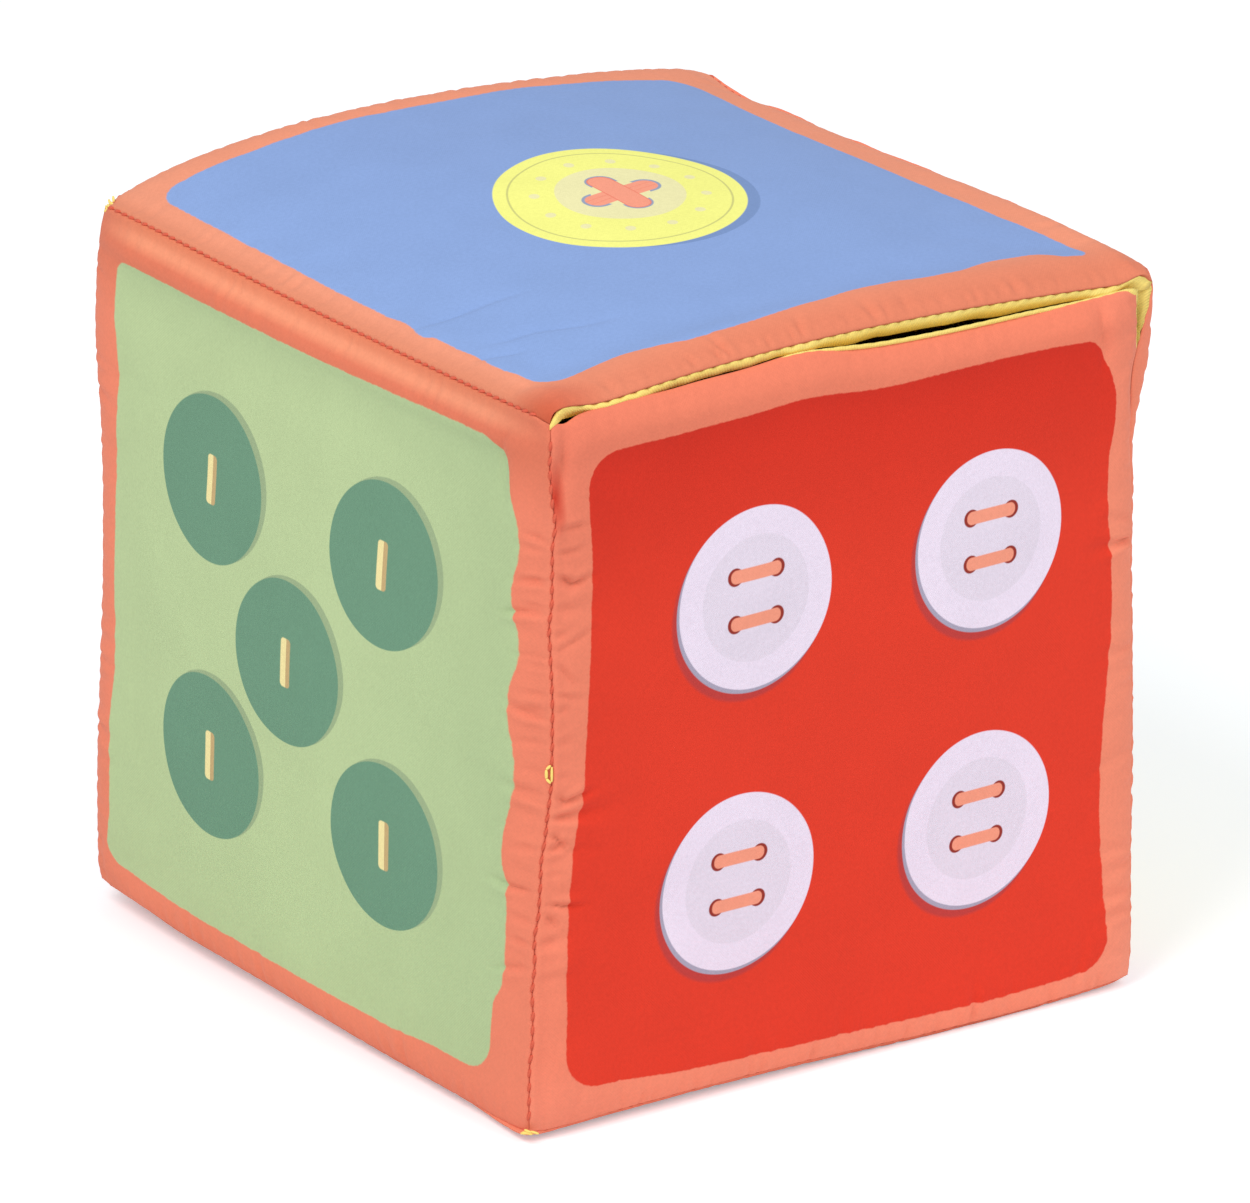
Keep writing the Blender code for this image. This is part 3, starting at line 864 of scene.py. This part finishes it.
class Num:
    """A socket with a number, for use in arithmetic."""

    def __init__(self, net, socket):
        self.net, self.socket = net, socket

    __add__, __sub__, __rsub__ = operation("ADD"), operation("SUBTRACT"), operation("SUBTRACT", True)
    __mul__ = __rmul__ = operation("MULTIPLY")
    __truediv__ = operation("DIVIDE")
    abs, max, min, root = (operation(name) for name in ("ABSOLUTE", "MAXIMUM", "MINIMUM", "SQRT"))

    def inside(self, soft=0.16):
        """1 where this distance is below zero, with a soft edge as wide as the print's."""
        values = (self, -soft, soft, 1.0, 0.0)
        return Num(self.net, self.net.join("MapRange", values, interpolation_type="SMOOTHSTEP").outputs[0])


def length(x, y):
    return (x * x + y * y).root()


def rounded(dx, dy, radius):
    """The distance outside a shape with round corners, from the distances past its corners' middles."""
    return length(dx.max(0.0), dy.max(0.0)) + dx.max(dy).min(0.0) - radius


def rounded_bar(x, y, half_x, half_y, radius):
    return rounded(x.abs() - (half_x - radius), y.abs() - (half_y - radius), radius)


def turned(x, y, degrees):
    c, s = math.cos(math.radians(degrees)), math.sin(math.radians(degrees))
    return x * c + y * s, y * c - x * s


def nearest(net, x, y, centres):
    """How many millimetres across and up a place lies from the nearest of the centres."""
    (cx, cy), *rest = centres
    dx, dy = x - cx, y - cy
    for cx, cy in rest:
        ex, ey = x - cx, y - cy
        closer = net.calc("LESS_THAN", ex * ex + ey * ey, dx * dx + dy * dy)
        dx, dy = net.between(closer, dx, ex), net.between(closer, dy, ey)
    return dx, dy


def side_curve(net, place, points):
    """Where a field's side lies for a place along it, through a few given points."""
    places, values = np.reshape(points, (-1, 2)).T
    low, high = float(values.min()) - 1, float(values.max()) + 1
    made = net.node("FloatCurve")
    curve = made.mapping.curves[0]
    while len(curve.points) < len(places):
        curve.points.new(0.5, 0.5)
    for point, *spot in zip(curve.points, (places + REACH) / (2 * REACH), (values - low) / (high - low)):
        point.location = spot
    made.mapping.update()
    net.feed(made.inputs["Value"], (place + REACH) / (2 * REACH))
    return Num(net, made.outputs[0]) * (high - low) + low


def field(net, x, y, sides, radii):
    """The distance outside the coloured field: wavy sides and round corners."""
    left, right, low, high = (side_curve(net, place, sides[k]) for k, place in enumerate((y, y, x, x)))
    rightward = net.calc("GREATER_THAN", x, 0.0)
    upward = net.calc("GREATER_THAN", y, 0.0)
    top_left, top_right, low_right, low_left = radii
    radius = net.between(upward, net.between(rightward, low_left, low_right),
                         net.between(rightward, top_left, top_right))
    return rounded((left - x).max(x - right) + radius, (low - y).max(y - high) + radius, radius)


# Painted light: the lid's coral is paler and lighter than the walls', for the top that catches more light
CORAL = {"lid": (0.84, 0.298, 0.177, 1)}
USUAL_CORAL = (0.89, 0.25, 0.148, 1)
CORAL_DARK = (0.8, 0.2, 0.13, 1)
BLUE = (0.24, 0.358, 0.664, 1)
BLUE_SHADE = (0.183, 0.283, 0.535, 1)
RED = (0.755, 0.047, 0.022, 1)
GREEN = (0.49, 0.61, 0.325, 1)
DARK_GREEN = (0.152, 0.305, 0.2, 1)
LILAC_WHITE = (0.84, 0.745, 0.885, 1)
LILAC_INNER = (0.78, 0.7, 0.82, 1)
YELLOW = (0.89, 0.89, 0.24, 1)
KHAKI = (0.82, 0.78, 0.42, 1)
CROSS = (0.9, 0.33, 0.22, 1)
SLATE = (0.29, 0.34, 0.48, 1)
HOLE = (0.3, 0.033, 0.022, 1)
CREAM = (0.88, 0.76, 0.37, 1)
TAN = (0.56, 0.4, 0.19, 1)


def lid_print(net, x, y, colour):
    def about(middle_x, middle_y):
        """Places about a middle, for a button that is a little longer one way than round."""
        dx, dy = x - middle_x, y - middle_y
        return dx * 1.009 - dy * 0.041, dy * 0.986 - dx * 0.041

    bx, by = about(-1.4, 0.35)
    r = length(bx, by)
    colour = net.layers(colour, (length(bx - 2.3, by + 1.7) - 26.6, BLUE_SHADE), (r - 26.8, YELLOW),
                        ((r - 23.7).abs() - 0.22, (0.6, 0.6, 0.2, 1), 0.14))
    bx, by = about(-0.8, 1.05)
    r = length(bx, by)
    sector = net.calc("PINGPONG", net.calc("ARCTAN2", by, bx) + math.pi, math.pi / 12)
    dots = length(r * net.calc("COSINE", sector) - 18.2, r * net.calc("SINE", sector))
    bx, by = about(-0.4, 1.6)
    r = length(bx, by)
    hx, hy = turned(bx - 0.2, by + 0.1, 5)
    across = rounded_bar(hx, hy, 9.3, 2.75, 2.6)
    upright = rounded_bar(bx, by - 0.5, 2.75, 9.1, 2.6)
    colour = net.layers(colour, (dots - 1.15, KHAKI), (r - 13.9, KHAKI))
    ends = (across.min(upright) - 0.7).inside() * net.calc("GREATER_THAN", r, 6.4)
    colour = net.layers(net.mix(ends, colour, SLATE), (across, CROSS))
    threads = ((hy.abs() - 0.9).abs() - 0.12).inside(0.1) * across.inside() * 0.5
    return net.layers(net.mix(threads, colour, CORAL_DARK), (upright - 0.25, CORAL_DARK), (upright, CROSS))


def left_print(net, x, y, colour):
    centres = ((-30.2, 31.6), (28.6, 32.1), (-1.8, 1.5), (-29.1, -28.2), (31.0, -27.6))
    bx, by = nearest(net, x, y, centres)
    stitch = net.mix(net.calc("GREATER_THAN", bx, 0.25), CREAM, TAN)
    return net.layers(colour, (length(bx - 1.6, by - 1.0) - 17.6, (0.33, 0.43, 0.245, 1)),
                      (length(bx, by) - 17.5, DARK_GREEN), (rounded_bar(bx, by, 1.6, 5.25, 0.9), stitch))


def front_print(net, x, y, colour):
    centres = ((-26.1, 28.9), (33.5, 29.9), (-28.2, -30.8), (32.5, -30.4))
    bx, by = nearest(net, x, y, centres)
    r = length(bx, by)
    up = (by - 0.4).abs() - 4.9
    return net.layers(
        colour,
        (length(bx + 1.6, by + 2.1) - 18.9, (0.52, 0.05, 0.045, 1), 0.5),
        (length(bx + 0.6, by + 0.7) - 18.85, (0.4, 0.37, 0.48, 1)),
        (r - 18.8, LILAC_WHITE),
        (r - 13.1, LILAC_INNER),
        (length(bx.abs() - 5.1, up) - 1.9, HOLE),
        (rounded_bar(bx, up, 6.2, 1.4, 1.3), CROSS),
    )


def plain_print(centres, radius, shade, disc, inner, hole, thread):
    """A print of buttons with four holes and two crossed threads, for a face that the photo doesn't show."""
    def design(net, x, y, colour):
        bx, by = nearest(net, x, y, centres)
        r = length(bx, by)
        bars = [(rounded_bar(*turned(bx, by, degrees), 5.6, 1.1, 1.0), thread) for degrees in (45, -45)]
        return net.layers(
            colour, (length(bx + 1.0, by + 1.5) - radius, shade), (r - radius, disc), (r - radius * 0.7, inner),
            (length(bx.abs() - 3.6, by.abs() - 3.6) - 1.6, hole), *bars)

    return design


# The coloured field of each face. Sides: left and right as y, x, y, x and so on, low and high as x, y, x, y.
# Corner radii: top left, top right, low right, low left.
FIELDS = {
    "lid": (BLUE, lid_print, (
        (-75, -67, -66, -68.8, -58, -70.2, -51, -70.9, -44.5, -70, -39, -70.5, -31, -70.5,
         -28, -71.4, -21, -70.2, -14, -70.5, 20, -70, 60, -69.5, 75, -69),
        (-75, 66, -60, 65.6, -34, 62.5, 0, 61, 37, 61, 60, 63.5, 75, 64),
        (-75, -66, -64, -66.6, -52, -65.2, -32, -68, 0, -65.6, 17, -63.8, 29, -65.6, 47, -62,
         54, -62.2, 60, -66.5, 75, -68),
        (-75, 66, -30, 66.3, 20, 66, 60, 64.4, 75, 64),
    ), (6.5, 6.5, 3, 4.5)),
    "left": (GREEN, left_print, (
        (-75, -67.5, -66, -69, -52, -67.2, -36, -67.4, -18, -65.8, 0, -66.6, 20, -66.2, 34, -65.2,
         45, -64.3, 56, -65.8, 75, -66.5),
        (-75, 64, -60, 65, -50, 66.2, -41, 69.4, -25, 69.6, -17, 68.1, 0, 70.2, 15, 68.5, 27, 70.6,
         39, 68.5, 47, 69.8, 62, 66.2, 75, 66),
        (-75, -67, -20, -67.2, 30, -66.9, 50, -66, 75, -66),
        (-75, 67, -62, 67.2, 0, 68.2, 57, 69.2, 75, 69),
    ), (4, 8, 7, 5)),
    "front": (RED, front_print, (
        (-75, -68.4, -57, -68.8, -32, -69.6, -12, -68.8, -5, -67.2, 15, -66.5, 42, -66, 60, -66.9,
         75, -67),
        (-75, 67.8, -64, 67.5, -52, 66.2, -30, 64.8, -6, 66.2, 10, 67.5, 39, 65.2, 50, 66.2,
         57, 65, 63, 62.3, 75, 60),
        (-75, -67, -59, -67.5, -31, -69.8, 25, -70.6, 60, -70.6, 75, -70),
        (-75, 66.3, -55, 66.5, 0, 66.9, 37, 67.9, 60, 66.9, 75, 66),
    ), (7, 4, 6, 8)),
}


# Painted light and shade: how much lighter the whole print gets from the middle of a face to its right edge and to its
# upper one
PAINTED_LIGHT_SLOPES = {"front": (0.03, -0.04), "left": (0.0, -0.02)}
# How the print's tone changes towards an edge: which edge, the places in millimetres between which the change comes
# in, how far from the edge's ends it fades (0 for not at all), and what the border's and the field's colours are
# multiplied by. They stand in for shading that the shape and the lamps alone don't give.
PLAIN = (1.0, 1.0, 1.0)
EDGE_TINTS = {
    "lid": (
        ((0, -1), 60, 72, 0, (0.87, 0.73, 0.7), PLAIN),
        ((-1, 0), 20, 70, 0, (0.97, 1.02, 1.04), (1.03, 1.04, 1.03)),
        ((-1, 0), 72, 74.6, 0, (0.9, 0.84, 0.8), PLAIN),
    ),
    "front": (
        ((0, 1), 30, 75, 0, (0.95, 0.9, 0.9), (0.83, 0.56, 0.58)),
        ((-1, 0), 50, 75, 0, (0.95, 0.92, 0.94), PLAIN),
        ((1, 0), 55, 75, 0, (0.97, 1.06, 1.12), PLAIN),
        ((0, -1), 60, 75, 0, (1.03, 1.14, 1.2), PLAIN),
    ),
    "left": (
        ((0, 1), 55, 67, 0, (0.87, 0.82, 0.77), (0.95, 0.96, 0.96)),
        ((0, 1), 70.6, 72.4, 16, (1.15, 1.55, 1.57), PLAIN),
        ((0, 1), 73.2, 74.9, 16, (0.84, 0.66, 0.6), PLAIN),
        ((1, 0), 15, 75, 0, (0.9, 0.88, 0.9), (0.87, 0.89, 0.89)),
        ((-1, 0), 60, 75, 0, (0.92, 0.96, 1), PLAIN),
    ),
}
# Painted shade: places where the border is a deeper red, at the lid's front left corner and in the fold at the top of
# the
# seam nearest to the camera: the place, its reach each way and the tint
PAINTED_SHADE_SPOTS = {
    "lid": (((-75, -75), (15, 11), (0.86, 0.54, 0.46)),),
    "front": (((-74.7, 60), (2, 9), (0.76, 0.22, 0.18)),),
}


def plain_field(seed):
    """A wavy field for a face that the photo doesn't show."""
    def wave(k, sign):
        rng = np.random.RandomState(seed + k)
        return [(p, sign * (67.2 + rng.uniform(-1.3, 1.3))) for p in (-75, -52, -30, -8, 14, 36, 56, 75)]

    return wave(1, -1), wave(2, 1), wave(3, -1), wave(4, 1)


FIELDS["right"] = (
    (0.87, 0.64, 0.09, 1),
    plain_print(((-29, 29), (29, -29)), 18.5, (0.62, 0.43, 0.06, 1), (0.2, 0.33, 0.62, 1),
                (0.15, 0.26, 0.52, 1), (0.05, 0.09, 0.22, 1), CREAM),
    plain_field(60), (6, 7, 6, 7),
)
FIELDS["back"] = (
    (0.5, 0.38, 0.66, 1),
    plain_print(((-31, 31), (0, 0), (31, -31)), 16.5, (0.34, 0.25, 0.47, 1), (0.9, 0.5, 0.16, 1),
                (0.82, 0.42, 0.12, 1), (0.33, 0.12, 0.03, 1), LILAC_WHITE),
    plain_field(70), (7, 6, 7, 6),
)
FIELDS["base"] = (
    (0.86, 0.4, 0.1, 1),
    plain_print([(cx, cy) for cx in (-27, 27) for cy in (-38, 0, 38)], 14.5, (0.62, 0.24, 0.05, 1),
                (0.24, 0.5, 0.42, 1), (0.19, 0.42, 0.36, 1), (0.04, 0.13, 0.11, 1), YELLOW),
    plain_field(80), (7, 7, 6, 6),
)


def weave(net, x, y, pitch):
    """Height of a plain weave, from threads that pass over and under each other."""
    over, under = (net.calc("SINE", place * (2 * math.pi / pitch)) for place in (x, y))
    return over * under


def finish_cloth(net, colour, height, roughness=0.82, sheen=0.06, bump=0.25):
    relief_node = net.join("Bump", (bump, 0.0001, height), ("Strength", "Distance", "Height"))
    for name, value in (
        ("Base Color", colour), ("Metallic", 0.0), ("Specular IOR Level", 0.12), ("Roughness", roughness),
        ("Sheen Weight", sheen), ("Sheen Roughness", 0.45), ("Normal", relief_node.outputs[0]),
    ):
        net.feed(net.shader.inputs[name], value)
    return net.owner


def scaled(net, colour, factor):
    return net.join("VectorMath", (colour, factor), (0, "Scale"), operation="SCALE").outputs[0]


def tinted(net, colour, share, tint):
    """A colour that goes over, by a share, to itself times a tint."""
    plain = colour[:3] if isinstance(colour, tuple) else colour
    return net.mix(share, colour, net.join("VectorMath", (plain, tint), operation="MULTIPLY").outputs[0])


def print_material(panel):
    net = Net(f"{panel}_print_cloth")
    x, y = net.plane()
    base, design, sides, radii = FIELDS[panel]
    bleed = (net.noise(900.0) - 0.5) * 0.5
    inside = (field(net, x, y, sides, radii) + bleed).inside(0.22)
    coral = CORAL.get(panel, USUAL_CORAL)
    for toward, start, full, end, coral_tint, field_tint in EDGE_TINTS.get(panel, ()):
        run, cross = (x, y) if toward[0] else (y, x)
        share = ((run * (toward[0] or toward[1]) - start) * (1 / (full - start))).max(0.0).min(1.0)
        if end:
            share = share * ((REACH - cross.abs()) * (1 / end)).max(0.0).min(1.0)
        coral, base = tinted(net, coral, share, coral_tint), tinted(net, base, share, field_tint)
    # painted shade in a corner and in a fold
    for (spot_x, spot_y), (reach_x, reach_y), tint in PAINTED_SHADE_SPOTS.get(panel, ()):
        far = length((x - spot_x) * (1 / reach_x), (y - spot_y) * (1 / reach_y))
        coral = tinted(net, coral, (1.0 - far).max(0.0), tint)
    colour = design(net, x, y, net.mix(inside, coral, base))
    mottle = (net.noise(70.0, 3.0) - 0.5) * 0.1 + (net.noise(1400.0) - 0.5) * 0.16
    threads = weave(net, x, y, 0.62)
    # painted light and shade: the walls darker towards the top and lighter towards the floor
    across, up = PAINTED_LIGHT_SLOPES.get(panel, (0.0, 0.0))
    fade = x * (across / REACH) + y * (up / REACH)
    colour = scaled(net, colour, mottle + fade + 1.0 + threads * 0.012)
    return finish_cloth(net, colour, threads * 0.5 + net.noise(1800.0))


def lining_material():
    net = Net("lining_cloth")
    x, y = net.plane()
    colour = net.mix(net.noise(90.0, 3.0), (0.9, 0.665, 0.16, 1), (0.945, 0.765, 0.24, 1))
    threads = weave(net, x, y, 0.7)
    colour = scaled(net, colour, threads * 0.05 + 1.0)
    return finish_cloth(net, colour, threads + net.noise(1500.0), roughness=0.85, bump=0.35)


def thread_material():
    net = Net("seam_thread")
    twist = net.noise(2600.0)
    # Painted shade: the thread is a darker red than the coral it is sewn in, for the groove that it lies in
    colour = net.mix(twist, (0.58, 0.085, 0.05, 1), (0.74, 0.15, 0.085, 1))
    return finish_cloth(net, colour, twist, roughness=0.7, sheen=0.05, bump=0.5)


# The flap turns about a soft crease, whose middle line runs from the slit's foot to the mouth
CREASE_RIGHT = np.array([HALF, -HALF, MOUTH_HEIGHT - SLIT_LENGTH])
CREASE_LEFT = np.array([-50.0, -HALF, MOUTH_HEIGHT])
crease_up = np.cross(CREASE_RIGHT - CREASE_LEFT, Y)
crease_up = crease_up / np.linalg.norm(crease_up) * np.sign(crease_up[2])


def build_panels():
    lining = lining_material()
    for panel in AXES:
        pad = pad_mesh(panel).object(f"{panel}_pad", print_material(panel))
        sheet = lining_mesh(panel)
        if panel in LOOSE_ENDS:
            add_loose_ends(sheet, panel)
        inner = sheet.object(f"{panel}_lining_cloth", lining)
        bodies = (panel, "flap") if panel == "front" else (panel,)
        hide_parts(*(f"{name}_{layer}" for name in bodies for layer in ("cover", "foam")))
        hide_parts(*(f"{name}_lining" for name in bodies))
        for piece in (pad, inner):
            if panel == "front":
                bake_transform(piece)
            else:
                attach(piece, "block")


# Stitches of the seams: their pitch, how far out they stand, and their radius
TOP_ROW, LOW_ROW = (2.36, 0.3, 0.33), (2.6, 0.2, 0.25)
WALL_ROW, NEAR_ROW = (3.0, 0.16, 0.25), (3.0, 0.34, 0.32)
ROWS = (
    ("lid", -X, TOP_ROW), ("lid", X, TOP_ROW), ("lid", Y, TOP_ROW),
    ("base", -X, LOW_ROW), ("base", X, LOW_ROW), ("base", -Y, LOW_ROW), ("base", Y, LOW_ROW),
    ("left", -Y, NEAR_ROW), ("left", Y, WALL_ROW), ("back", X, WALL_ROW), ("right", -Y, WALL_ROW),
)


def build_seams():
    thread = thread_material()
    for panel, side, row in ROWS:
        other = neighbour(side)
        high = 1 - (SLIT_LENGTH + 3) / REACH if (panel, other) == ("right", "front") else ROW_END
        piece = stitches(panel, side, *row, high).object(f"stitches_{panel}_{other}", thread, uv=False)
        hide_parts(f"thread_{panel}_{other}")
        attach(piece, "block")


FLOOR_SIZE = 12
FLOOR_COLOUR = (0.92, 0.92, 0.93, 1)
FLOOR_GLOW = (0.28, 0.32, 0.34, 1)
WORLD_STRENGTH = 0.5
# Name, place, what it points at, size and power of each lamp
LAMPS = (
    ("key", (-1.017, -0.361, 1.295), (0, 0, 0.06), 0.8, 13.0),
    ("fill", (0.328, -1.066, 1.257), (0, 0, 0.06), 1.0, 7.6),
)


def build_stage():
    bpy.ops.mesh.primitive_plane_add(size=FLOOR_SIZE, location=(0, 0, 0))
    floor = bpy.context.object
    floor.name = "floor"
    net = Net("floor_paper")
    for name, value in (("Base Color", FLOOR_COLOUR), ("Roughness", 0.9), ("Specular IOR Level", 0.1)):
        net.feed(net.shader.inputs[name], value)
    glow = net.join("Emission", (FLOOR_GLOW, 1.0)).outputs[0]
    dark = net.join("Emission", (0.0,), ("Strength",)).outputs[0]
    shown = net.join("MixShader", (net.views(), dark, glow)).outputs[0]
    total = net.join("AddShader", (net.shader.outputs[0], shown)).outputs[0]
    net.feed(net.tree.nodes["Material Output"].inputs["Surface"], total)
    floor.data.materials.append(net.owner)


def build_light():
    world = bpy.data.worlds.new("studio")
    bpy.context.scene.world = world
    net = Net(world.name, world)
    background = net.tree.nodes["Background"]
    net.feed(background.inputs["Color"], (1, 1, 1, 1))
    net.feed(background.inputs["Strength"], WORLD_STRENGTH)
    seen = net.join("Background", (1.0,), ("Strength",)).outputs[0]
    pick = net.join("MixShader", (net.views(), background.outputs[0], seen)).outputs[0]
    net.feed(net.tree.nodes["World Output"].inputs[0], pick)
    for name, place, aim, size, power in LAMPS:
        data = bpy.data.lights.new(name, "AREA")
        data.shape, data.size, data.energy = "DISK", size, power
        lamp = placed(name, data)
        lamp.location = place
        lamp.rotation_euler = (Vector(aim) - Vector(place)).to_track_quat("-Z", "Y").to_euler()


CAMERA_PLACE = (-1.91268, -2.50056, 1.29911)
CAMERA_AZIMUTH, CAMERA_ELEVATION, CAMERA_ROLL = -37.448, 21.247, 1.61
CAMERA_LENS, SENSOR = 480.5, 36.0


def build_camera():
    data = bpy.data.cameras.new("camera")
    data.sensor_fit, data.sensor_width, data.lens = "HORIZONTAL", SENSOR, CAMERA_LENS
    camera = placed("camera", data)
    camera.matrix_world = Matrix.Translation(CAMERA_PLACE)
    for degrees, axis in ((CAMERA_AZIMUTH, "Z"), (90 - CAMERA_ELEVATION, "X"), (CAMERA_ROLL, "Z")):
        camera.matrix_world @= Matrix.Rotation(math.radians(degrees), 4, axis)
    bpy.context.scene.camera = camera


build_panels()
build_seams()
build_stage()
build_light()
build_camera()
bpy.context.scene.view_settings.view_transform = "Standard"
